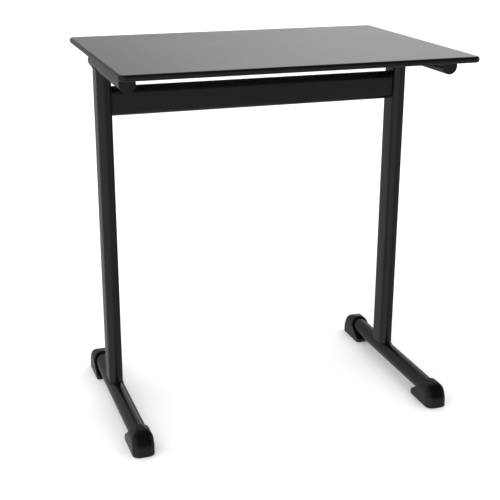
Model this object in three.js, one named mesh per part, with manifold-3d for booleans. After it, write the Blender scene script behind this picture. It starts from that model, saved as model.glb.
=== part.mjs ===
// Single-seat work table: a thin laminate top on a welded tube frame with two T-shaped ends.
// Millimetres. +Z up, floor at z = 0, +Y away from the user, +X to the user's right.
// The origin is on the floor under the middle of the top.

import * as THREE from 'three';
import { mergeVertices } from 'three/addons/utils/BufferGeometryUtils.js';
import Module from 'manifold-3d';

const wasm = await Module();
wasm.setup();

// ---- driving dimensions ----
const GAP = 0.3; // kept between pieces that lie against each other
const WALL = 2; // wall of the frame tubes
const MARGIN = 1; // how far a cutting body runs past the surface it cuts

const TOP = { width: 706, depth: 506, thickness: 12, height: 760, corner: 13, edge: 5 };

const LEG_X = 324.3; // middle of each T-shaped end, left and right
const COLUMN = { wide: 30, deep: 60, y: 51 }; // flat-oval tube, standing
const BEAM = { tall: 60, deep: 30, z: 657 }; // flat-oval tube, lying between the columns
const RAIL = { radius: 16, front: -182, rear: 107 }; // round tube under the top
const FOOT = { radius: 18, z: 29, end: 195 }; // round tube near the floor

// Plastic boot on each end of a foot tube. "s" is measured inwards from its toe.
const BOOT = {
  toe: 228.3, // distance of the toe from the middle of the table
  halfWidth: 22.7,
  toeCorner: 15, // rounding of the toe, seen from above
  heelCorner: 7,
  lip: 17, // height of the upright part of the toe
  browS: 17,
  browZ: 49,
  mouthS: 47,
  mouthZ: 52.5,
  cheekS: 54, // where the mouth meets the sloping side walls
  cheekZ: 33,
  heelS: 88, // end of the tongue under the tube
  heelZ: 9,
  sole: 1.2, // rounding of the lower edges
  curve: 4, // length of the curves that join the straight parts of the side outline
  floorZ: 5.5, // floor of the channel in the tongue
  channelS: 56, // the channel starts here
  channelHalf: 15.5,
  tip: 4, // wall left at the end of the tongue
  spigotEnd: 62, // the plug inside the tube reaches this far from the toe
};

const CAP = { flange: 1.8, plug: 8, rim: 0.8, lead: 1.2 }; // plastic cap in each end of a rail
const SCREW = { shank: 3, head: 5.5, headTall: 3.5, crown: 1.6, socket: 1.8, socketDeep: 1.6, tip: 756, lead: 1 };
const INSERT = { bore: 3.2, radius: 4.5, tall: 8.2, lead: 0.6, below: 0.1 };
const ACCESS_RADIUS = 6.5; // hole in the rail's underside that lets a screw head through
const FIXING_Y = [-150, -45, 92]; // screws along each rail

// ---- materials ----
function finish(color, roughness, metalness) {
  return new THREE.MeshStandardMaterial({ color, roughness, metalness });
}
const laminate = () => finish(0x2b2c2d, 0.45, 0);
const blackPaint = () => finish(0x17181a, 0.5, 0.2);
const bootPlastic = () => finish(0x141415, 0.6, 0);
const capPlastic = () => finish(0x161617, 0.6, 0);
const screwSteel = () => finish(0x8a8c90, 0.35, 1);
const brass = () => finish(0xb09048, 0.35, 1);

// ---- booleans ----
function toManifold(geometry) {
  const bare = geometry.clone();
  bare.deleteAttribute('normal');
  bare.deleteAttribute('uv');
  const merged = mergeVertices(bare, 1e-4);
  return new wasm.Manifold(
    new wasm.Mesh({
      numProp: 3,
      vertProperties: new Float32Array(merged.attributes.position.array),
      triVerts: new Uint32Array(merged.index.array),
    }),
  );
}

function toGeometry(manifold) {
  const mesh = manifold.getMesh();
  const geometry = new THREE.BufferGeometry();
  geometry.setAttribute('position', new THREE.BufferAttribute(new Float32Array(mesh.vertProperties), 3));
  geometry.setIndex(new THREE.BufferAttribute(new Uint32Array(mesh.triVerts), 1));
  geometry.computeVertexNormals();
  return geometry;
}

function subtractAll(body, cutters) {
  let result = toManifold(body);
  for (const cutter of cutters) {
    result = result.subtract(toManifold(cutter));
  }
  return toGeometry(result);
}

// ---- outlines and primitive bodies ----

// Flat-oval outline, `wide` across the flats and `long` end to end.
function flatOval(path, wide, long) {
  const radius = wide / 2;
  const half = long / 2 - radius;
  path.moveTo(radius, -half);
  path.lineTo(radius, half);
  path.absarc(0, half, radius, 0, Math.PI, false);
  path.lineTo(-radius, -half);
  path.absarc(0, -half, radius, Math.PI, 2 * Math.PI, false);
  return path;
}

// Rectangle from (x0, y0) to (x1, y1) with one rounding for the low-y corners and one for the high-y ones.
function roundedRectangle(x0, y0, x1, y1, lowRadius, highRadius) {
  const shape = new THREE.Shape();
  shape.moveTo(x0 + lowRadius, y0);
  shape.lineTo(x1 - lowRadius, y0);
  shape.absarc(x1 - lowRadius, y0 + lowRadius, lowRadius, -Math.PI / 2, 0, false);
  shape.lineTo(x1, y1 - highRadius);
  shape.absarc(x1 - highRadius, y1 - highRadius, highRadius, 0, Math.PI / 2, false);
  shape.lineTo(x0 + highRadius, y1);
  shape.absarc(x0 + highRadius, y1 - highRadius, highRadius, Math.PI / 2, Math.PI, false);
  shape.lineTo(x0, y0 + lowRadius);
  shape.absarc(x0 + lowRadius, y0 + lowRadius, lowRadius, Math.PI, 1.5 * Math.PI, false);
  return shape;
}

function extrude(shape, depth, curveSegments) {
  return new THREE.ExtrudeGeometry(shape, { depth, curveSegments, bevelEnabled: false });
}

// Solid cylinder along Y from y0 to y1, on the line x = 0 at height z.
function cylinderAlongY(radius, y0, y1, z, segments = 32) {
  const body = new THREE.CylinderGeometry(radius, radius, y1 - y0, segments);
  body.translate(0, (y0 + y1) / 2, z);
  return body;
}

// Solid upright cylinder from z0 to z1.
function cylinderAlongZ(radius, x, y, z0, z1, segments = 16) {
  const body = new THREE.CylinderGeometry(radius, radius, z1 - z0, segments);
  body.rotateX(Math.PI / 2);
  body.translate(x, y, (z0 + z1) / 2);
  return body;
}

function flatOvalTube(wide, long, length) {
  const outline = flatOval(new THREE.Shape(), wide, long);
  outline.holes.push(flatOval(new THREE.Path(), wide - 2 * WALL, long - 2 * WALL));
  return extrude(outline, length, 8);
}

// ---- derived positions ----
const underTop = TOP.height - TOP.thickness;
const railZ = underTop - GAP - RAIL.radius;
const railBore = RAIL.radius - WALL;
const flatUnderCrown = Math.sqrt(railBore ** 2 - SCREW.head ** 2);
const screwSeat = railZ + flatUnderCrown - GAP;

// ---- sub-parts, each made on the line x = 0 unless it spans the table ----
function tableTop() {
  const flat = TOP.thickness - 2 * TOP.edge;
  const outline = roundedRectangle(
    -TOP.width / 2 + TOP.edge,
    -TOP.depth / 2 + TOP.edge,
    TOP.width / 2 - TOP.edge,
    TOP.depth / 2 - TOP.edge,
    TOP.corner - TOP.edge,
    TOP.corner - TOP.edge,
  );
  const slab = new THREE.ExtrudeGeometry(outline, {
    depth: flat,
    curveSegments: 6,
    bevelThickness: TOP.edge,
    bevelSize: TOP.edge,
    bevelSegments: 4,
  });
  slab.translate(0, 0, underTop + TOP.edge);
  const pockets = [];
  for (const side of [-1, 1]) {
    for (const y of FIXING_Y) {
      const low = underTop - MARGIN;
      const high = underTop + INSERT.tall + GAP;
      pockets.push(cylinderAlongZ(INSERT.radius + GAP, side * LEG_X, y, low, high, 12));
    }
  }
  return subtractAll(slab, pockets);
}

function topRail() {
  const body = cylinderAlongY(RAIL.radius, RAIL.front, RAIL.rear, railZ);
  const cutters = [cylinderAlongY(railBore, RAIL.front - MARGIN, RAIL.rear + MARGIN, railZ)];
  for (const y of FIXING_Y) {
    cutters.push(cylinderAlongZ(ACCESS_RADIUS, 0, y, railZ - RAIL.radius - MARGIN, railZ));
    cutters.push(cylinderAlongZ(SCREW.shank + 2 * GAP, 0, y, railZ, underTop));
  }
  return subtractAll(body, cutters);
}

// Cap pressed into a rail end: a disc with a softened rim outside, a plug inside.
function railCap() {
  const plugRadius = railBore - GAP;
  const face = GAP + CAP.flange;
  const rimInside = RAIL.radius - CAP.rim;
  const profile = new THREE.Path();
  profile.moveTo(0, -CAP.plug);
  profile.lineTo(plugRadius - CAP.lead / 2, -CAP.plug);
  profile.lineTo(plugRadius, CAP.lead - CAP.plug);
  profile.lineTo(plugRadius, GAP);
  profile.lineTo(RAIL.radius, GAP);
  profile.lineTo(RAIL.radius, face - CAP.rim);
  profile.absarc(rimInside, face - CAP.rim, CAP.rim, 0, Math.PI / 2, false);
  profile.lineTo(0, face);
  return new THREE.LatheGeometry(profile.getPoints(2), 28);
}

function frontRailCap() {
  const cap = railCap();
  cap.rotateX(Math.PI);
  cap.translate(0, RAIL.front, railZ);
  return cap;
}

function rearRailCap() {
  const cap = railCap();
  cap.translate(0, RAIL.rear, railZ);
  return cap;
}

// Column with both ends hollowed out to sit on the foot tube and under the rail.
function column() {
  const tube = flatOvalTube(COLUMN.wide, COLUMN.deep, railZ - FOOT.z);
  tube.translate(0, COLUMN.y, FOOT.z);
  const reach = COLUMN.deep;
  return subtractAll(tube, [
    cylinderAlongY(RAIL.radius + GAP, COLUMN.y - reach, COLUMN.y + reach, railZ, 48),
    cylinderAlongY(FOOT.radius + GAP, COLUMN.y - reach, COLUMN.y + reach, FOOT.z, 48),
  ]);
}

function crossbeam() {
  const length = 2 * (LEG_X - COLUMN.wide / 2 - GAP);
  const tube = flatOvalTube(BEAM.deep, BEAM.tall, length);
  tube.translate(0, 0, -length / 2);
  tube.rotateX(Math.PI / 2);
  tube.rotateZ(Math.PI / 2);
  tube.translate(0, COLUMN.y, BEAM.z);
  return tube;
}

function footTube() {
  const body = cylinderAlongY(FOOT.radius, -FOOT.end, FOOT.end, FOOT.z);
  const bore = cylinderAlongY(FOOT.radius - WALL, -FOOT.end - MARGIN, FOOT.end + MARGIN, FOOT.z);
  return subtractAll(body, [bore]);
}

// Outline of a boot from the side: x holds s, measured inwards from the toe, y holds the height.
function bootSide() {
  const side = new THREE.Shape();
  const { sole, curve, lip, browS, browZ, mouthS, mouthZ, cheekS, cheekZ, heelS, heelZ } = BOOT;
  side.moveTo(sole, 0);
  side.lineTo(heelS - sole, 0);
  side.quadraticCurveTo(heelS, 0, heelS, sole);
  side.lineTo(heelS, heelZ - curve);
  side.quadraticCurveTo(heelS, heelZ, heelS - curve, heelZ + 0.75 * curve);
  side.lineTo(cheekS + curve, cheekZ - 0.75 * curve);
  side.quadraticCurveTo(cheekS, cheekZ, cheekS - 0.4 * curve, cheekZ + curve);
  side.lineTo(mouthS, mouthZ);
  side.lineTo(browS + 2 * curve, browZ + 0.35 * curve);
  side.quadraticCurveTo(browS, browZ, browS - curve, browZ - 1.5 * curve);
  side.lineTo(curve, lip + 1.4 * curve);
  side.quadraticCurveTo(0, lip, 0, lip - 1.75 * curve);
  side.lineTo(0, sole);
  side.quadraticCurveTo(0, 0, sole, 0);
  return side;
}

// Boot for the rear end of a foot tube, its toe towards +Y.
function rearBoot() {
  const w = BOOT.halfWidth;
  const toe = BOOT.toe;
  const heel = BOOT.toe - BOOT.heelS;

  // upright walls under a half-round crown that follows the tube
  const arch = new THREE.Shape();
  arch.moveTo(-w, 0);
  arch.lineTo(w, 0);
  arch.lineTo(w, FOOT.z);
  arch.absarc(0, FOOT.z, w, 0, Math.PI, false);
  arch.lineTo(-w, 0);
  const crown = extrude(arch, BOOT.heelS, 14);
  crown.rotateX(Math.PI / 2);
  crown.translate(0, toe, 0);

  const profile = extrude(bootSide(), 2 * (w + MARGIN), 4);
  profile.translate(0, 0, -w - MARGIN);
  profile.rotateX(Math.PI / 2);
  profile.rotateZ(-Math.PI / 2);
  profile.translate(0, toe, 0);

  const plan = extrude(
    roundedRectangle(-w, heel, w, toe, BOOT.heelCorner, BOOT.toeCorner),
    FOOT.z + w + 2 * MARGIN,
    6,
  );
  plan.translate(0, 0, -MARGIN);

  const tubeEnd = FOOT.end + GAP;
  const sleeve = toManifold(cylinderAlongY(FOOT.radius + GAP, heel - MARGIN, tubeEnd, FOOT.z, 36));
  const spigot = toManifold(
    cylinderAlongY(FOOT.radius - WALL - GAP, toe - BOOT.spigotEnd, tubeEnd + MARGIN, FOOT.z, 24),
  );
  const channelLength = BOOT.heelS - BOOT.tip - BOOT.channelS;
  const channel = new THREE.BoxGeometry(2 * BOOT.channelHalf, channelLength, FOOT.z - BOOT.floorZ);
  channel.translate(0, heel + BOOT.tip + channelLength / 2, (FOOT.z + BOOT.floorZ) / 2);

  const solid = toManifold(crown)
    .intersect(toManifold(profile))
    .intersect(toManifold(plan))
    .subtract(sleeve)
    .subtract(toManifold(channel))
    .add(spigot);
  return toGeometry(solid);
}

function frontBoot() {
  const boot = rearBoot();
  boot.rotateZ(Math.PI);
  return boot;
}

// Button-head machine screw, driven up through the rail into the top.
function topScrew(y) {
  const { shank, head, headTall, crown, socket, socketDeep, tip, lead } = SCREW;
  const face = screwSeat - headTall;
  const profile = new THREE.Path();
  profile.moveTo(0, face + socketDeep);
  profile.lineTo(socket, face + socketDeep);
  profile.lineTo(socket, face);
  profile.lineTo(head - crown, face);
  profile.quadraticCurveTo(head, face + crown / 4, head, screwSeat - crown / 2);
  profile.lineTo(head, screwSeat);
  profile.lineTo(shank, screwSeat);
  profile.lineTo(shank, tip - lead);
  profile.lineTo(shank - lead, tip);
  profile.lineTo(0, tip);
  const screw = new THREE.LatheGeometry(profile.getPoints(2), 16);
  screw.rotateX(Math.PI / 2);
  screw.translate(0, y, 0);
  return screw;
}

// Threaded sleeve let into the underside of the top.
function topInsert(y) {
  const { bore, radius, lead } = INSERT;
  const low = underTop + INSERT.below;
  const high = underTop + INSERT.tall;
  const profile = new THREE.Path();
  profile.moveTo(bore, low);
  profile.lineTo(radius, low);
  profile.lineTo(radius, high - lead);
  profile.lineTo(radius - lead, high);
  profile.lineTo(bore, high);
  profile.lineTo(bore, low);
  const insert = new THREE.LatheGeometry(profile.getPoints(1), 16);
  insert.rotateX(Math.PI / 2);
  insert.translate(0, y, 0);
  return insert;
}

// ---- assembly ----
const group = new THREE.Group();
group.name = 'work_table';

function addPart(name, geometry, material, x = 0) {
  geometry.translate(x, 0, 0);
  const mesh = new THREE.Mesh(geometry, material);
  mesh.name = name;
  group.add(mesh);
}

addPart('table_top', tableTop(), laminate());
addPart('crossbeam', crossbeam(), blackPaint());

for (const [side, x] of [['left', -LEG_X], ['right', LEG_X]]) {
  addPart(`${side}_top_rail`, topRail(), blackPaint(), x);
  addPart(`${side}_rail_cap_front`, frontRailCap(), capPlastic(), x);
  addPart(`${side}_rail_cap_rear`, rearRailCap(), capPlastic(), x);
  addPart(`${side}_column`, column(), blackPaint(), x);
  addPart(`${side}_foot_tube`, footTube(), blackPaint(), x);
  addPart(`${side}_boot_front`, frontBoot(), bootPlastic(), x);
  addPart(`${side}_boot_rear`, rearBoot(), bootPlastic(), x);
  for (const [place, y] of [['front', FIXING_Y[0]], ['middle', FIXING_Y[1]], ['rear', FIXING_Y[2]]]) {
    addPart(`${side}_top_screw_${place}`, topScrew(y), screwSteel(), x);
    addPart(`${side}_top_insert_${place}`, topInsert(y), brass(), x);
  }
}

export default group;
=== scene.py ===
"""Looks of the single-seat work table: a laminate top on a powder-coated tube frame with moulded boots.

Metres, in the CAD's frame: X to the right, Y to the rear, Z up. Places and overall sizes come from the boxes
of the CAD's nodes. The finer shapes and the materials are made here.
"""

import math

import bmesh
import bpy
import numpy as np
from mathutils import Euler, Matrix, Vector


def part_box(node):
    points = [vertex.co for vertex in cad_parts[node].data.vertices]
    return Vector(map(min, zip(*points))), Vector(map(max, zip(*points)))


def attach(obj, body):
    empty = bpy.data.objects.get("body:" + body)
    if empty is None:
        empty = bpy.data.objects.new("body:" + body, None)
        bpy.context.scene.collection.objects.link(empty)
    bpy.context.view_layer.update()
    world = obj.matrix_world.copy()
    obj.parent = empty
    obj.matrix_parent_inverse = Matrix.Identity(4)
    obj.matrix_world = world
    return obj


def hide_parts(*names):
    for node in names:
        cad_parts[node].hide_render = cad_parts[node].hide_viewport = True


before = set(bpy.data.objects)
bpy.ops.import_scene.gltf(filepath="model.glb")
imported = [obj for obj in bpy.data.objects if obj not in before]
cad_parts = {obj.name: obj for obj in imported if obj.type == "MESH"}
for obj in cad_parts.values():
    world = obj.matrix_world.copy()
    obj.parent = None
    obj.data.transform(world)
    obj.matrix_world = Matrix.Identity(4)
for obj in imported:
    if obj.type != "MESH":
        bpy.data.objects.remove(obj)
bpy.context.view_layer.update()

MM = 0.001
GAP = 0.3 * MM  # left between parts that lie against each other
WALL = 2 * MM  # of every tube
PAST = 1 * MM  # how far a cutting body runs past the surface it cuts
SAME_PLACE = 0.0003 * MM  # corners closer than this are one corner
SIDES = ("left", "right")
ENDS = ("front", "rear")
PLACES = ("front", "middle", "rear")


# ---------------------------------------------------------------- places taken from the frame
def middle(node):
    low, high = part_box(node)
    return (low + high) / 2


def size(node):
    low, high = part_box(node)
    return high - low


TOP_LOW, TOP_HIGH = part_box("table_top")
TOP_CORNER = 13 * MM  # radius of its four corners, seen from above
TOP_EDGE = 5 * MM  # radius of its upper and lower edges
CORE_SLOPE = 0.97  # faces of the edge steeper than this show the core, not the laminate sheet
COLUMN_WIDE = size("left_column").x
COLUMN_DEEP = size("left_column").y
COLUMN_Y = middle("left_column").y
RAIL_RADIUS = size("left_top_rail").x / 2
RAIL_Z = middle("left_top_rail").z
FOOT_RADIUS = size("left_foot_tube").x / 2
FOOT_Z = middle("left_foot_tube").z
FOOT_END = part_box("left_foot_tube")[1].y  # rear end; the front end is at -FOOT_END
BEAM_LOW, BEAM_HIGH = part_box("crossbeam")


# ---------------------------------------------------------------- mesh tools
def make_object(name, vertices, faces, sharp_degrees=30):
    mesh = bpy.data.meshes.new(name)
    mesh.from_pydata([tuple(v) for v in vertices], [], faces)
    mesh.update()
    piece = bpy.data.objects.new(name, mesh)
    bpy.context.scene.collection.objects.link(piece)
    shade(piece, sharp_degrees)
    return piece


def shade(piece, sharp_degrees=30):
    """Outward faces, smooth but for the edges sharper than the angle."""
    work = bmesh.new()
    work.from_mesh(piece.data)
    bmesh.ops.recalc_face_normals(work, faces=work.faces)
    work.to_mesh(piece.data)
    work.free()
    for polygon in piece.data.polygons:
        polygon.use_smooth = True
    piece.data.set_sharp_from_angle(angle=math.radians(sharp_degrees))


def loft(name, rings, ends="cap", sharp_degrees=30):
    """Skin over closed rings of equal length. ends: "cap" fills the first and last, "loop" joins them."""
    count = len(rings[0])
    vertices = [point for ring in rings for point in ring]
    faces = []
    pairs = len(rings) if ends == "loop" else len(rings) - 1
    for i in range(pairs):
        a = i * count
        b = ((i + 1) % len(rings)) * count
        for j in range(count):
            k = (j + 1) % count
            faces.append((a + j, a + k, b + k, b + j))
    if ends == "cap":
        faces.append(tuple(range(count)))
        last = (len(rings) - 1) * count
        faces.append(tuple(range(last, last + count)))
    return make_object(name, vertices, faces, sharp_degrees)


def modify(piece, kind, **values):
    """Adds one modifier, keeps its result as the mesh, and removes the modifier."""
    modifier = piece.modifiers.new(kind, kind)
    for key, value in values.items():
        setattr(modifier, key, value)
    graph = bpy.context.evaluated_depsgraph_get()
    result = bpy.data.meshes.new_from_object(piece.evaluated_get(graph))
    piece.modifiers.clear()
    piece.data = result
    return piece


def combine(piece, other, operation):
    """Boolean with another object, which is used up. Corners that it leaves in one place are joined."""
    modify(piece, "BOOLEAN", object=other, operation=operation, solver="EXACT")
    bpy.data.objects.remove(other)
    mesh = bmesh.new()
    mesh.from_mesh(piece.data)
    bmesh.ops.remove_doubles(mesh, verts=mesh.verts, dist=SAME_PLACE)
    mesh.to_mesh(piece.data)
    mesh.free()
    return piece


def circle(radius, segments):
    """Points round a circle about the origin."""
    return [
        (radius * math.cos(2 * math.pi * i / segments), radius * math.sin(2 * math.pi * i / segments))
        for i in range(segments)
    ]


def rod(name, radius, start, end, axis, centre=(0, 0), segments=64):
    """Solid round bar from start to end along axis "x", "y" or "z"; centre is its place across the axis."""
    rings = []
    for along in (start, end):
        ring = []
        for p, q in circle(radius, segments):
            p, q = p + centre[0], q + centre[1]
            ring.append({"x": (along, p, q), "y": (p, along, q), "z": (p, q, along)}[axis])
        rings.append(ring)
    return loft(name, rings)


def flat_oval(wide, long, arc_segments=32):
    """Points of a flat oval: wide across the flats (first coordinate), long end to end (second)."""
    radius = wide / 2
    half = long / 2 - radius
    points = []
    for turn, centre in ((0, half), (math.pi, -half)):
        for i in range(arc_segments + 1):
            angle = turn + math.pi * i / arc_segments
            points.append((radius * math.cos(angle), centre + radius * math.sin(angle)))
    return points


def rounded_rectangle(half_x, half_y, radius, arc_segments=12):
    """Points of a rectangle about the origin with round corners."""
    points = []
    for quarter, (sx, sy) in enumerate(((1, 1), (-1, 1), (-1, -1), (1, -1))):
        for i in range(arc_segments + 1):
            angle = math.pi / 2 * (quarter + i / arc_segments)
            points.append((
                sx * (half_x - radius) + radius * math.cos(angle),
                sy * (half_y - radius) + radius * math.sin(angle),
            ))
    return points


def arc_steps(count):
    """Angles from 0 to a quarter turn in even steps."""
    return [math.pi / 2 * i / count for i in range(count + 1)]


# ---------------------------------------------------------------- material tools
class Graph:
    """Short calls for adding nodes to the node tree of a material or a world."""

    def __init__(self, owner):
        owner.use_nodes = True
        self.nodes = owner.node_tree.nodes
        self.links = owner.node_tree.links

    def feed(self, socket, value):
        """Links another node's output to the socket, or sets a plain value on it."""
        if isinstance(value, bpy.types.NodeSocket):
            self.links.new(value, socket)
        else:
            socket.default_value = value

    def node(self, kind, inputs=None, **settings):
        made = self.nodes.new(kind)
        for key, value in settings.items():
            setattr(made, key, value)
        for key, value in (inputs or {}).items():
            self.feed(made.inputs[key], value)
        return made

    def mix(self, factor, a, b):
        """Colour a where the factor is 0, colour b where it is 1."""
        return self.node("ShaderNodeMix", {0: factor, 6: a, 7: b}, data_type="RGBA").outputs[2]


class MaterialGraph(Graph):
    """Short calls for building one node material."""

    def __init__(self, name):
        self.material = bpy.data.materials.new(name)
        super().__init__(self.material)
        self.shader = self.nodes["Principled BSDF"]
        self.object_coordinates = self.node("ShaderNodeTexCoord").outputs["Object"]

    def stretched(self, scale):
        """Object coordinates with each axis scaled by its own factor."""
        return self.node("ShaderNodeMapping", {"Vector": self.object_coordinates, "Scale": scale}).outputs[0]

    def noise(self, scale, detail, roughness, vector=None):
        """Noise with about scale features a metre, unless another vector stretches it."""
        made = self.node("ShaderNodeTexNoise", {
            "Vector": vector or self.object_coordinates,
            "Scale": scale,
            "Detail": detail,
            "Roughness": roughness,
        })
        return made.outputs["Fac"]

    def span(self, value, low, high, from_low=0.3, from_high=0.7):
        """Low where the value is from_low, high where it is from_high; noise lies mostly from 0.3 to 0.7."""
        made = self.node("ShaderNodeMapRange", {
            "Value": value,
            "From Min": from_low,
            "From Max": from_high,
            "To Min": low,
            "To Max": high,
        })
        return made.outputs[0]

    def math(self, operation, a, b):
        return self.node("ShaderNodeMath", {0: a, 1: b}, operation=operation).outputs[0]

    def bump(self, height, distance, strength, normal=None):
        """Normal of a relief: distance is its full height, on top of the relief of an earlier normal."""
        inputs = {"Height": height, "Distance": distance, "Strength": strength}
        if normal is not None:
            inputs["Normal"] = normal
        return self.node("ShaderNodeBump", inputs).outputs[0]

    def finish(self, color, roughness, normal=None, ior=None, metallic=None, specular=None):
        """The material, with each value that is given fed to its shader."""
        values = {
            "Base Color": color,
            "Roughness": roughness,
            "Normal": normal,
            "IOR": ior,
            "Metallic": metallic,
            "Specular IOR Level": specular,
        }
        for key, value in values.items():
            if value is not None:
                self.feed(self.shader.inputs[key], value)
        return self.material


def grey(value, warm=0.0):
    """Grey of one brightness; warm above 0 turns it towards red, below 0 towards blue."""
    return (value * (1 + warm), value, value * (1 - warm), 1)


# ---------------------------------------------------------------- materials
GLOSSY_IOR = 1.5  # refractive index of paint, laminate and plastic


def frame_paint():
    """Black powder coat: orange peel about 2 mm across, fine grit in it, uneven gloss."""
    g = MaterialGraph("frame_paint")
    peel = g.noise(420, 2, 0.5)
    grit = g.noise(2600, 3, 0.6)
    patches = g.noise(9, 4, 0.6)
    black, worn_black, speck = grey(0.0018, -0.03), grey(0.0028, -0.03), grey(0.010)
    color = g.mix(g.span(patches, 0, 1), black, worn_black)
    color = g.mix(g.span(grit, 0, 0.35, 0.62, 0.8), color, speck)
    roughness = g.math("ADD", g.span(patches, 0.22, 0.27), g.span(grit, -0.03, 0.03))
    peeled = g.bump(peel, 0.06 * MM, 0.3)
    return g.finish(color, roughness, g.bump(grit, 0.01 * MM, 0.3, peeled), ior=GLOSSY_IOR)


def laminate():
    """Dark neutral laminate with a fine suede texture."""
    g = MaterialGraph("top_laminate")
    suede = g.noise(1500, 4, 0.65)
    cloud = g.noise(5, 5, 0.6)
    dark, less_dark, nap = (0.058, 0.064, 0.061, 1), (0.063, 0.069, 0.066, 1), (0.072, 0.078, 0.075, 1)
    color = g.mix(g.span(cloud, 0, 1), dark, less_dark)
    color = g.mix(g.span(suede, 0, 1), color, nap)
    roughness = g.math("ADD", g.span(cloud, 0.24, 0.28), g.span(suede, -0.03, 0.03))
    return g.finish(color, roughness, g.bump(suede, 0.02 * MM, 0.2), ior=GLOSSY_IOR)


def laminate_core():
    """Machined edge of the panel: black core, with the thin layers of its paper showing as faint lines."""
    g = MaterialGraph("laminate_core")
    layers = g.noise(1.0, 2, 0.5, g.stretched((25, 25, 3800)))
    sawn = g.noise(900, 3, 0.6)
    color = g.mix(g.span(layers, 0, 1), grey(0.0016), grey(0.0032))
    roughness = g.math("ADD", g.span(layers, 0.26, 0.34), g.span(sawn, -0.04, 0.04))
    return g.finish(color, roughness, g.bump(layers, 0.02 * MM, 0.2), ior=GLOSSY_IOR)


def boot_plastic():
    """Moulded black plastic with a fine spark-eroded grain, scuffed a little near the floor."""
    g = MaterialGraph("boot_plastic")
    scuffed_up_to = 7 * MM
    grain = g.noise(1900, 3, 0.6)
    marks = g.noise(60, 5, 0.7)
    height = g.node("ShaderNodeSeparateXYZ", {0: g.object_coordinates}).outputs["Z"]
    low_down = g.span(height, 1, 0, 0, scuffed_up_to)
    scuffs = g.math("MULTIPLY", low_down, g.span(marks, 0, 1, 0.52, 0.72))
    color = g.mix(g.span(marks, 0, 1), grey(0.0018), grey(0.0026))
    color = g.mix(scuffs, color, grey(0.009))
    roughness = g.math("ADD", g.span(grain, 0.25, 0.32), g.math("MULTIPLY", scuffs, 0.15))
    return g.finish(color, roughness, g.bump(grain, 0.03 * MM, 0.3), ior=GLOSSY_IOR)


def cap_plastic():
    """Softer black plastic of the rail caps."""
    g = MaterialGraph("cap_plastic")
    grain = g.noise(1500, 3, 0.6)
    marks = g.noise(90, 4, 0.6)
    color = g.mix(g.span(marks, 0, 1), grey(0.0030), grey(0.0045))
    return g.finish(color, g.span(grain, 0.38, 0.48), g.bump(grain, 0.03 * MM, 0.3), ior=GLOSSY_IOR)


def screw_steel():
    """Bright zinc plating with fine turning marks."""
    g = MaterialGraph("screw_steel")
    spangle = g.noise(700, 4, 0.6)
    turned = g.noise(1.0, 2, 0.5, g.stretched((300, 300, 5200)))
    dull_zinc, bright_zinc = (0.50, 0.51, 0.53, 1), (0.63, 0.64, 0.66, 1)
    color = g.mix(g.span(spangle, 0, 1), dull_zinc, bright_zinc)
    return g.finish(color, g.span(spangle, 0.25, 0.42), g.bump(turned, 0.02 * MM, 0.25), metallic=1.0)


def insert_brass():
    """Turned brass, a little dulled."""
    g = MaterialGraph("insert_brass")
    dulling = g.noise(500, 4, 0.6)
    turned = g.noise(1.0, 2, 0.5, g.stretched((300, 300, 6000)))
    dull_brass, bright_brass = (0.52, 0.36, 0.12, 1), (0.66, 0.48, 0.19, 1)
    color = g.mix(g.span(dulling, 0, 1), dull_brass, bright_brass)
    return g.finish(color, g.span(dulling, 0.28, 0.45), g.bump(turned, 0.02 * MM, 0.25), metallic=1.0)


def floor_paper():
    """Pale matt paper of the studio floor, of one even grey."""
    g = MaterialGraph("floor_paper")
    tone = g.noise(2, 2, 0.5)
    return g.finish(grey(FLOOR_ALBEDO), g.span(tone, 0.9, 1.0), specular=0.0)


def dress(piece, *materials):
    """Gives the piece these materials and no others."""
    piece.data.materials.clear()
    for material in materials:
        piece.data.materials.append(material)


def place(piece, slot, *nodes):
    """The piece rides on the table's one body and stands for its CAD nodes."""
    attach(piece, "root")
    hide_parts(*nodes)


# ---------------------------------------------------------------- the top
def table_top(surface, core):
    """Slab with round edges and corners, blind pockets for the inserts, and its core showing at the rim."""
    half_x = (TOP_HIGH.x - TOP_LOW.x) / 2
    half_y = (TOP_HIGH.y - TOP_LOW.y) / 2
    flat_margin = 0.6 * MM  # strip beside the round edge, which keeps its shading off the flat face
    edge_steps = 10

    def ring(inset, z):
        return [(x, y, z) for x, y in rounded_rectangle(half_x - inset, half_y - inset, TOP_CORNER - inset)]

    rings = [ring(TOP_EDGE + flat_margin, TOP_LOW.z)]
    for angle in arc_steps(edge_steps):
        rings.append(ring(TOP_EDGE * (1 - math.sin(angle)), TOP_LOW.z + TOP_EDGE * (1 - math.cos(angle))))
    for angle in arc_steps(edge_steps):
        rings.append(ring(TOP_EDGE * (1 - math.cos(angle)), TOP_HIGH.z - TOP_EDGE * (1 - math.sin(angle))))
    rings.append(ring(TOP_EDGE + flat_margin, TOP_HIGH.z))
    slab = loft("worktop", rings)

    for side in SIDES:
        for spot in PLACES:
            low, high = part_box(f"{side}_top_insert_{spot}")
            at = middle(f"{side}_top_insert_{spot}")
            radius = (high.x - low.x) / 2 + GAP
            pocket = rod("pocket", radius, TOP_LOW.z - PAST, high.z + GAP, "z", (at.x, at.y), 32)
            combine(slab, pocket, "DIFFERENCE")
    shade(slab)
    dress(slab, surface, core)
    for polygon in slab.data.polygons:
        rim = abs(polygon.normal.z) < CORE_SLOPE
        polygon.material_index = 1 if rim else 0
    place(slab, "top_laminate", "table_top")


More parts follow.
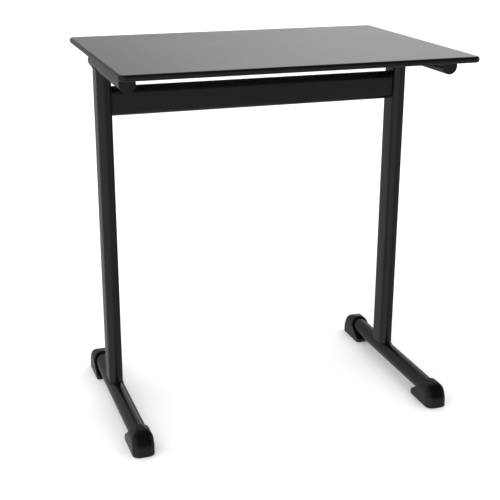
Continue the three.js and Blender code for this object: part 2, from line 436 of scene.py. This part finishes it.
# ---------------------------------------------------------------- tubes
def round_tube(name, radius, y0, y1, x, z, segments=96):
    """Open tube along Y with slightly broken end edges."""
    chamfer = 0.4 * MM
    outline = [
        (radius, y0 + chamfer), (radius, y1 - chamfer), (radius - chamfer, y1),
        (radius - WALL, y1), (radius - WALL, y0), (radius - chamfer, y0),
    ]
    rings = [[(x + p, y, z + q) for p, q in circle(r, segments)] for r, y in outline]
    return loft(name, rings, "loop", sharp_degrees=40)


def top_rail(side, paint):
    """Rail with three wide access holes below and three clearance holes above, for the top screws."""
    node = f"{side}_top_rail"
    low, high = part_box(node)
    at = middle(node)
    rail = round_tube(f"{side}_rail", RAIL_RADIUS, low.y, high.y, at.x, RAIL_Z)
    access_radius = 6.5 * MM
    clearance_radius = 3.6 * MM
    for spot in PLACES:
        screw = f"{side}_top_screw_{spot}"
        centre = (middle(screw).x, middle(screw).y)
        combine(rail, rod("hole", access_radius, low.z - PAST, RAIL_Z, "z", centre, 48), "DIFFERENCE")
        combine(rail, rod("hole", clearance_radius, RAIL_Z, high.z + PAST, "z", centre, 32), "DIFFERENCE")
    shade(rail, sharp_degrees=25)
    dress(rail, paint)
    place(rail, "frame_paint", node)


def foot_tube(side, paint):
    node = f"{side}_foot_tube"
    low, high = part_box(node)
    tube = round_tube(f"{side}_foot", FOOT_RADIUS, low.y, high.y, middle(node).x, FOOT_Z, 112)
    dress(tube, paint)
    place(tube, "frame_paint", node)


def saddle(radius, across):
    """Height of a round tube's skin at a distance across from its middle line."""
    return math.sqrt(radius ** 2 - min(abs(across), radius) ** 2)


def column(side, paint):
    """Flat-oval tube whose ends are hollowed to sit on the foot tube and under the rail."""
    node = f"{side}_column"
    at = middle(node)
    outer = flat_oval(COLUMN_WIDE, COLUMN_DEEP)
    inner = flat_oval(COLUMN_WIDE - 2 * WALL, COLUMN_DEEP - 2 * WALL)

    def ring(outline, top):
        points = []
        for x, y in outline:
            if top:
                z = RAIL_Z - saddle(RAIL_RADIUS + GAP, x)
            else:
                z = FOOT_Z + saddle(FOOT_RADIUS + GAP, x)
            points.append((at.x + x, at.y + y, z))
        return points

    rings = [ring(outer, False), ring(outer, True), ring(inner, True), ring(inner, False)]
    tube = loft(f"{side}_upright", rings, "loop")
    dress(tube, paint)
    place(tube, "frame_paint", node)


def crossbeam(paint):
    """Flat-oval tube on edge between the columns."""
    at = middle("crossbeam")
    deep = BEAM_HIGH.y - BEAM_LOW.y
    tall = BEAM_HIGH.z - BEAM_LOW.z
    outer = flat_oval(deep, tall)
    inner = flat_oval(deep - 2 * WALL, tall - 2 * WALL)
    rings = []
    for outline, x in ((outer, BEAM_LOW.x), (outer, BEAM_HIGH.x), (inner, BEAM_HIGH.x), (inner, BEAM_LOW.x)):
        rings.append([(x, at.y + y, at.z + z) for y, z in outline])
    beam = loft("beam", rings, "loop")
    dress(beam, paint)
    place(beam, "frame_paint", "crossbeam")


# ---------------------------------------------------------------- welds
BEAD_RADIUS = 1.5 * MM
BEAD_STEP = 0.8 * MM  # between points along a bead
RIPPLE = 0.06  # swell of the bead, as a share of its radius
RIPPLE_STEPS = 5  # points along the bead from one ripple to the next


def weld(name, path, paint):
    """Closed bead along a path, with the low ripple of a hand-held torch, painted with the frame."""
    count = len(path)
    sides = 10
    nearly_upright = 0.9
    vertices = []
    faces = []
    for i, point in enumerate(path):
        here = Vector(point)
        along = (Vector(path[(i + 1) % count]) - Vector(path[i - 1])).normalized()
        if abs(along.z) > nearly_upright:
            across = along.orthogonal().normalized()
        else:
            across = along.cross((0, 0, 1)).normalized()
        up = across.cross(along)
        swell = BEAD_RADIUS * (1 + RIPPLE * math.sin(2 * math.pi * i / RIPPLE_STEPS))
        for p, q in circle(swell, sides):
            vertices.append(here + across * p + up * q)
    for i in range(count):
        for j in range(sides):
            k = (j + 1) % sides
            n = (i + 1) % count
            faces.append((i * sides + j, i * sides + k, n * sides + k, n * sides + j))
    bead = make_object(name, vertices, faces, sharp_degrees=60)
    dress(bead, paint)
    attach(bead, "root")


def resampled(points, step):
    """Points evenly spaced along a closed path."""
    closed = [Vector(p) for p in points] + [Vector(points[0])]
    lengths = [0.0]
    for a, b in zip(closed, closed[1:]):
        lengths.append(lengths[-1] + (b - a).length)
    count = int(lengths[-1] / step)
    result = []
    piece = 0
    for i in range(count):
        target = lengths[-1] * i / count
        while lengths[piece + 1] < target:
            piece += 1
        share = (target - lengths[piece]) / (lengths[piece + 1] - lengths[piece])
        result.append(closed[piece].lerp(closed[piece + 1], share))
    return result


def welds(paint):
    """Beads where each column meets its foot tube, its rail and the crossbeam."""
    off_skin = 0.35 * MM  # from the skins of both tubes to the middle line of the bead
    for side in SIDES:
        x0 = middle(f"{side}_column").x
        outline = flat_oval(COLUMN_WIDE + 2 * off_skin, COLUMN_DEEP + 2 * off_skin)
        low_path = [(x0 + x, COLUMN_Y + y, FOOT_Z + saddle(FOOT_RADIUS + off_skin, x)) for x, y in outline]
        high_path = [(x0 + x, COLUMN_Y + y, RAIL_Z - saddle(RAIL_RADIUS + off_skin, x)) for x, y in outline]
        weld(f"{side}_weld_foot", resampled(low_path, BEAD_STEP), paint)
        weld(f"{side}_weld_rail", resampled(high_path, BEAD_STEP), paint)
        beam_end = BEAM_LOW.x if side == "left" else BEAM_HIGH.x
        beam_outline = flat_oval(BEAM_HIGH.y - BEAM_LOW.y, BEAM_HIGH.z - BEAM_LOW.z)
        centre = middle("crossbeam")
        beam_path = [(beam_end, centre.y + y, centre.z + z) for y, z in beam_outline]
        weld(f"{side}_weld_beam", resampled(beam_path, BEAD_STEP), paint)


# ---------------------------------------------------------------- boots
# The two outlines of a boot are in millimetres: s inwards from the toe, z up from the floor.
BOOT_LONG = 88
SOLE_ROUND = 1.2  # radius between the sole and the walls
VOXEL = 0.6 * MM  # grain of the remesh that turns the boot into one skin
EVEN_ROUNDS = 6  # of smoothing all over, which take the steps out of the skin
MOULDED_ROUNDS = 30  # of smoothing where the moulding is rounded off
KEPT_FACES = 0.3  # share of its faces that the finished skin keeps


def curve_points(start, control, end, steps=8):
    """Quadratic curve from start to end, without its first point."""
    a, b, c = Vector(start), Vector(control), Vector(end)
    points = []
    for i in range(1, steps + 1):
        t = i / steps
        points.append(tuple((1 - t) ** 2 * a + 2 * t * (1 - t) * b + t ** 2 * c))
    return points


def boot_side():
    """Side outline of a boot behind its toe, from the sole round the tongue and up the leaning mouth."""
    before_toe = -3
    above_crown = 60
    tongue_end, tongue_top, tongue_root = (BOOT_LONG, 5), (84, 12), (58, 30)
    mouth_foot, mouth_top = (52.4, 37), (47, 51)
    points = [(before_toe, 0), (BOOT_LONG - SOLE_ROUND, 0)]
    points += curve_points(points[-1], (BOOT_LONG, 0), (BOOT_LONG, SOLE_ROUND))
    points.append(tongue_end)
    points += curve_points(tongue_end, (BOOT_LONG, 9), tongue_top)
    points.append(tongue_root)
    points += curve_points(tongue_root, (54, 33), mouth_foot)
    points += [mouth_top, (43.5, above_crown), (before_toe, above_crown)]
    return points


def boot_toe():
    """Middle line of the toe, from just under the sole up its slope and over the brow to the crown."""
    under_sole = (1.8, -1)
    slope_foot, slope_low, slope_high = (0, 11), (3, 25.5), (9.5, 37)
    brow = (28, 49.3)
    crown = [(37, 50.8), (47, 51.8), (58, 53)]
    points = [under_sole, (SOLE_ROUND, 0)]
    points += curve_points(points[-1], (0, 0), (0, SOLE_ROUND), steps=4)
    points.append(slope_foot)
    points += curve_points(slope_foot, (0, 19), slope_low)
    points.append(slope_high)
    points += curve_points(slope_high, (16, 47.8), brow)
    points += crown
    return points


def boot_plan(half, toe, heel):
    """Outline of a boot from above: half its width to each side, with round corners at its toe and heel."""
    toe_corner = 14 * MM
    heel_corner = 7 * MM
    corner_steps = 16
    corners = ((1, toe, toe_corner), (-1, toe, toe_corner), (-1, heel, heel_corner), (1, heel, heel_corner))
    points = []
    for quarter, (side, end, radius) in enumerate(corners):
        inward = -radius if end == toe else radius
        for i in range(corner_steps + 1):
            angle = math.pi / 2 * (quarter + i / corner_steps)
            x = side * (half - radius) + radius * math.cos(angle)
            y = end + inward + radius * math.sin(angle)
            points.append((x, y))
    return points


def prism(name, outline, depths, to_point):
    """Straight body over an outline; to_point(u, v, w) gives the place of outline point (u, v) at depth w."""
    rings = []
    for w in depths:
        rings.append([to_point(u, v, w) for u, v in outline])
    return loft(name, rings)


def boot_form():
    """Boot at the middle of the table with its toe towards +Y, as one smooth moulded body."""
    low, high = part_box("right_boot_rear")
    half = (high.x - low.x) / 2
    toe = high.y
    heel = low.y
    arch_steps = 64

    arch = [(half, 0), (half, FOOT_Z)]
    for i in range(1, arch_steps):
        angle = math.pi * i / arch_steps
        arch.append((half * math.cos(angle), FOOT_Z + half * math.sin(angle)))
    arch += [(-half, FOOT_Z), (-half, 0)]
    body = prism("boot", arch, (heel - PAST, toe + PAST), lambda u, v, w: (u, w, v))

    outline = [(s * MM, z * MM) for s, z in boot_side()]
    side = prism("side", outline, (-half - PAST, half + PAST), lambda u, v, w: (w, toe - u, v))
    combine(body, side, "INTERSECT")
    rings = [[(x, y, z * MM) for x, y in boot_plan(half, toe - s * MM, heel)] for s, z in boot_toe()]
    combine(body, loft("plan", rings), "INTERSECT")

    sleeve = rod("sleeve", FOOT_RADIUS + GAP, heel - 2 * PAST, FOOT_END + GAP, "y", (0, FOOT_Z), 96)
    combine(body, sleeve, "DIFFERENCE")
    combine(body, boot_channel(toe, heel), "DIFFERENCE")
    plug_end = toe - 62 * MM
    plug_root = FOOT_END + 3 * MM
    plug = rod("plug", FOOT_RADIUS - WALL - GAP, plug_end, plug_root, "y", (0, FOOT_Z), 64)
    combine(body, plug, "UNION")
    modify(body, "REMESH", mode="VOXEL", voxel_size=VOXEL, use_smooth_shade=True)
    soften(body, lambda point: 1.0, EVEN_ROUNDS)
    soften(body, lambda point: moulded_share(point, toe), MOULDED_ROUNDS)
    modify(body, "DECIMATE", ratio=KEPT_FACES)
    return body


def boot_channel(toe, heel):
    """The hollow in the tongue under the foot tube, open at the top."""
    half_wide = 15.5 * MM
    bottom = 5.5 * MM
    start = heel + 4 * MM
    end = toe - 56 * MM
    outline = [(-half_wide, start), (half_wide, start), (half_wide, end), (-half_wide, end)]
    return prism("channel", outline, (bottom, FOOT_Z), lambda u, v, w: (u, v, w))


def rise(distance, over):
    """0 for a distance below 0, 1 for a distance above over, straight between."""
    return min(max(distance / over, 0), 1)


def moulded_share(point, toe):
    """1 on a boot's toe, crown and mouth, which are rounded off; 0 on its sole, sleeve and tongue."""
    sleeve_wall = 1.5 * MM
    sole = 2 * MM
    mouth = 54 * MM  # from the toe
    from_axis = math.hypot(point.x, point.z - FOOT_Z)
    outside = rise(from_axis - FOOT_RADIUS - sleeve_wall, 2 * MM)
    above_sole = rise(point.z - sole, 4 * MM)
    past_mouth = rise(toe - point.y - mouth, 4 * MM)
    return outside * above_sole * (1 - past_mouth)


def soften(piece, share, rounds):
    """Each vertex moves towards the mean of its neighbours, rounds times, by its share of half the way."""
    half_way = 0.5
    mesh = piece.data
    count = len(mesh.vertices)
    places = np.empty(count * 3)
    mesh.vertices.foreach_get("co", places)
    places = places.reshape(-1, 3)
    ends = np.empty(len(mesh.edges) * 2, dtype=np.int64)
    mesh.edges.foreach_get("vertices", ends)
    ends = ends.reshape(-1, 2)
    neighbours = np.bincount(ends.ravel(), minlength=count)[:, None]
    shares = np.array([share(vertex.co) for vertex in mesh.vertices])[:, None] * half_way
    for _ in range(rounds):
        total = np.zeros_like(places)
        np.add.at(total, ends[:, 0], places[ends[:, 1]])
        np.add.at(total, ends[:, 1], places[ends[:, 0]])
        places += shares * (total / neighbours - places)
    mesh.vertices.foreach_set("co", places.ravel())
    mesh.update()


def boots(plastic):
    """Four copies of one moulding; the two at the front are turned round."""
    form = boot_form()
    for side in SIDES:
        for end in ENDS:
            node = f"{side}_boot_{end}"
            turn = Matrix.Rotation(math.pi if end == "front" else 0, 4, "Z")
            mesh = form.data.copy()
            mesh.transform(Matrix.Translation((middle(node).x, 0, 0)) @ turn)
            boot = bpy.data.objects.new(f"{side}_{end}_boot", mesh)
            bpy.context.scene.collection.objects.link(boot)
            shade(boot, sharp_degrees=60)
            dress(boot, plastic)
            place(boot, "boot_plastic", node)
    bpy.data.objects.remove(form)


# ---------------------------------------------------------------- small parts
def turned(name, profile, centre, axis, flip=1, segments=96):
    """Solid of revolution; profile holds (radius, distance along the axis) from one end to the other.

    The axis is "y" or "z". A flip of -1 points it the other way.
    """
    narrowest = 0.01 * MM  # ring that stands for a point on the axis
    rings = []
    for radius, along in profile:
        ring = []
        for p, q in circle(max(radius, narrowest), segments):
            if axis == "y":
                ring.append((centre[0] + p, centre[1] + flip * along, centre[2] + q))
            else:
                ring.append((centre[0] + p, centre[1] + q, centre[2] + flip * along))
        rings.append(ring)
    return loft(name, rings)


def rail_caps(plastic):
    """Pressed-in caps: a plug, and outside it a disc with a soft rim and a barely crowned face."""
    plug_radius = RAIL_RADIUS - WALL - GAP
    taper_in, taper_long = 0.6 * MM, 1.2 * MM  # of the plug's tip
    back_edge = 0.2 * MM
    soft_rim = 0.8 * MM
    crown = 0.02 * MM
    for side in SIDES:
        rail_low, rail_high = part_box(f"{side}_top_rail")
        for end in ENDS:
            node = f"{side}_rail_cap_{end}"
            low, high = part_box(node)
            if end == "rear":
                tube_end, outward, flange = rail_high.y, 1, high.y - rail_high.y
            else:
                tube_end, outward, flange = rail_low.y, -1, rail_low.y - low.y
            plug = (high.y - low.y) - flange
            profile = [(0, -plug), (plug_radius - taper_in, -plug), (plug_radius, -plug + taper_long)]
            profile += [(plug_radius, GAP), (RAIL_RADIUS - back_edge, GAP), (RAIL_RADIUS, GAP + back_edge)]
            for angle in arc_steps(6):
                across = RAIL_RADIUS - soft_rim * (1 - math.cos(angle))
                profile.append((across, flange - soft_rim * (1 - math.sin(angle))))
            profile += [(RAIL_RADIUS * 0.9, flange - crown), (0, flange)]
            centre = (middle(node).x, tube_end, RAIL_Z)
            cap = turned(f"{side}_{end}_rail_cap", profile, centre, "y", outward)
            dress(cap, plastic)
            place(cap, "cap_plastic", node)


def screws(steel):
    """Button-head screws with a hexagon socket, seen through the access holes under the rails."""
    head_radius = 5.5 * MM
    head_tall = 3.5 * MM
    head_rim = 0.8 * MM  # upright part of the head, above its dome
    dome = 2.4 * MM  # how far the dome comes in from the head's edge
    shank_radius = 3 * MM
    tip_in, tip_long = 0.8 * MM, 1 * MM  # chamfer at the shank's tip
    socket_radius = 2 * MM / math.cos(math.pi / 6)
    socket_deep = 1.8 * MM
    for side in SIDES:
        for spot in PLACES:
            node = f"{side}_top_screw_{spot}"
            low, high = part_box(node)
            at = middle(node)
            tall = high.z - low.z
            profile = [(0, 0), (head_radius - dome, 0)]
            for angle in arc_steps(8)[1:]:
                across = head_radius - dome + dome * math.sin(angle)
                profile.append((across, (head_tall - head_rim) * (1 - math.cos(angle))))
            profile += [(head_radius, head_tall), (shank_radius, head_tall), (shank_radius, tall - tip_long)]
            profile += [(shank_radius - tip_in, tall), (0, tall)]
            screw = turned(f"{side}_{spot}_screw", profile, (at.x, at.y, low.z), "z", 1, 48)
            socket = rod("socket", socket_radius, low.z - PAST, low.z + socket_deep, "z", (at.x, at.y), 6)
            combine(screw, socket, "DIFFERENCE")
            shade(screw)
            dress(screw, steel)
            place(screw, "screw_steel", node)


def inserts(brass):
    """The CAD's own bodies, which are closed in by the top."""
    for side in SIDES:
        for spot in PLACES:
            dress(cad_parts[f"{side}_top_insert_{spot}"], brass)


# ---------------------------------------------------------------- studio
FLOOR_ALBEDO = 0.85
BRIGHT_BAND = grey(0.96)
BACKDROP = grey(1.0)  # plain and pale wherever the room itself comes into view
SUN_STRENGTH = 4.08
SUN_WIDTH = 165  # degrees across, so that its shadows are soft
CAMERA_PLACE = (-0.7212, -2.0008, 1.0672)
SENSOR = 36  # millimetres across
LENS = 75.0  # millimetres
LOOKS_DOWN = 19.293  # degrees, as are the next two
LOOKS_RIGHT = 19.106
ROLL = 0.25


def studio_floor():
    """Very large pale floor, as a grid of faces. It isn't mirrored: the room has its own floor for that."""
    steps = 24
    half = 40.0  # metres
    vertices = []
    faces = []
    for i in range(steps + 1):
        for j in range(steps + 1):
            vertices.append((half * (2 * i / steps - 1), half * (2 * j / steps - 1), 0))
    for i in range(steps):
        for j in range(steps):
            a = i * (steps + 1) + j
            faces.append((a, a + steps + 1, a + steps + 2, a + 1))
    floor = make_object("floor", vertices, faces)
    floor.visible_glossy = False
    dress(floor, floor_paper())


def studio_light():
    """A soft lamp overhead, in a room that the glossy parts mirror. They don't mirror the lamp.

    Above the horizon the room is dim, and darkest high up in front to the right. Low down behind the table to
    its right is a bright band with a dim middle. Below the horizon the room is a floor, pale in front to the
    left and dark behind to the right.
    """
    world = bpy.data.worlds.new("studio")
    bpy.context.scene.world = world
    g = Graph(world)
    direction = g.node("ShaderNodeTexCoord").outputs["Generated"]

    def along(axis):
        """How far the direction points along an axis, from -1 to 1."""
        made = g.node("ShaderNodeVectorMath", {0: direction, 1: axis}, operation="DOT_PRODUCT")
        return made.outputs["Value"]

    def ramp(value, stops):
        """Grey by value, eased from one stop of (value, level) to the next. Values run from -1 to 1."""
        share = g.node("ShaderNodeMapRange", {"Value": value, "From Min": -1.0}).outputs[0]
        made = g.node("ShaderNodeValToRGB", {0: share})
        made.color_ramp.interpolation = "EASE"
        elements = made.color_ramp.elements
        while len(elements) < len(stops):
            elements.new(0.5)
        for element, (position, level) in zip(elements, stops):
            element.position = (position + 1) / 2
            element.color = grey(level)
        return made.outputs[0]

    to_band = along((0.78, 0.62, 0.0))
    height = along((0, 0, 1))
    dim = ramp(along((0.42, -0.58, 0.70)), ((0.30, 0.39), (0.70, 0.21), (0.89, 0.03)))
    band = g.mix(ramp(height, ((0.22, 0.0), (0.38, 1.0))), BRIGHT_BAND, dim)
    above = g.mix(ramp(to_band, ((0.68, 0.0), (0.90, 1.0), (0.93, 0.9), (0.99, 0.0))), dim, band)
    below = ramp(to_band, ((-1.0, 0.70), (-0.3, 0.38), (0.15, 0.38), (0.50, 0.42), (0.88, 0.13)))
    over_horizon = ramp(height, ((-0.06, 0.0), (0.12, 1.0)))
    room = g.mix(over_horizon, below, above)
    seen_directly = g.node("ShaderNodeLightPath").outputs["Is Camera Ray"]
    g.feed(g.nodes["Background"].inputs["Color"], g.mix(seen_directly, room, BACKDROP))

    lamp = bpy.data.lights.new("overhead", "SUN")
    lamp.energy = SUN_STRENGTH
    lamp.angle = math.radians(SUN_WIDTH)
    overhead = bpy.data.objects.new("overhead", lamp)
    overhead.visible_glossy = False
    bpy.context.scene.collection.objects.link(overhead)


def studio_camera():
    """In front of the table and to its left, a little over a metre up, looking down and to the right."""
    data = bpy.data.cameras.new("camera")
    data.sensor_width = SENSOR
    data.lens = LENS
    camera = bpy.data.objects.new("camera", data)
    camera.location = CAMERA_PLACE
    turn = (math.radians(90 - LOOKS_DOWN), 0, math.radians(-LOOKS_RIGHT))
    aim = Euler(turn, "XYZ").to_matrix().to_4x4()
    roll = Matrix.Rotation(math.radians(ROLL), 4, "Z")
    camera.rotation_euler = (aim @ roll).to_euler()
    bpy.context.scene.collection.objects.link(camera)
    bpy.context.scene.camera = camera


# ---------------------------------------------------------------- assembly
def build():
    paint = frame_paint()
    table_top(laminate(), laminate_core())
    crossbeam(paint)
    for side in SIDES:
        top_rail(side, paint)
        column(side, paint)
        foot_tube(side, paint)
    welds(paint)
    boots(boot_plastic())
    rail_caps(cap_plastic())
    screws(screw_steel())
    inserts(insert_brass())


build()
studio_floor()
studio_light()
studio_camera()
bpy.context.scene.view_settings.view_transform = "Standard"
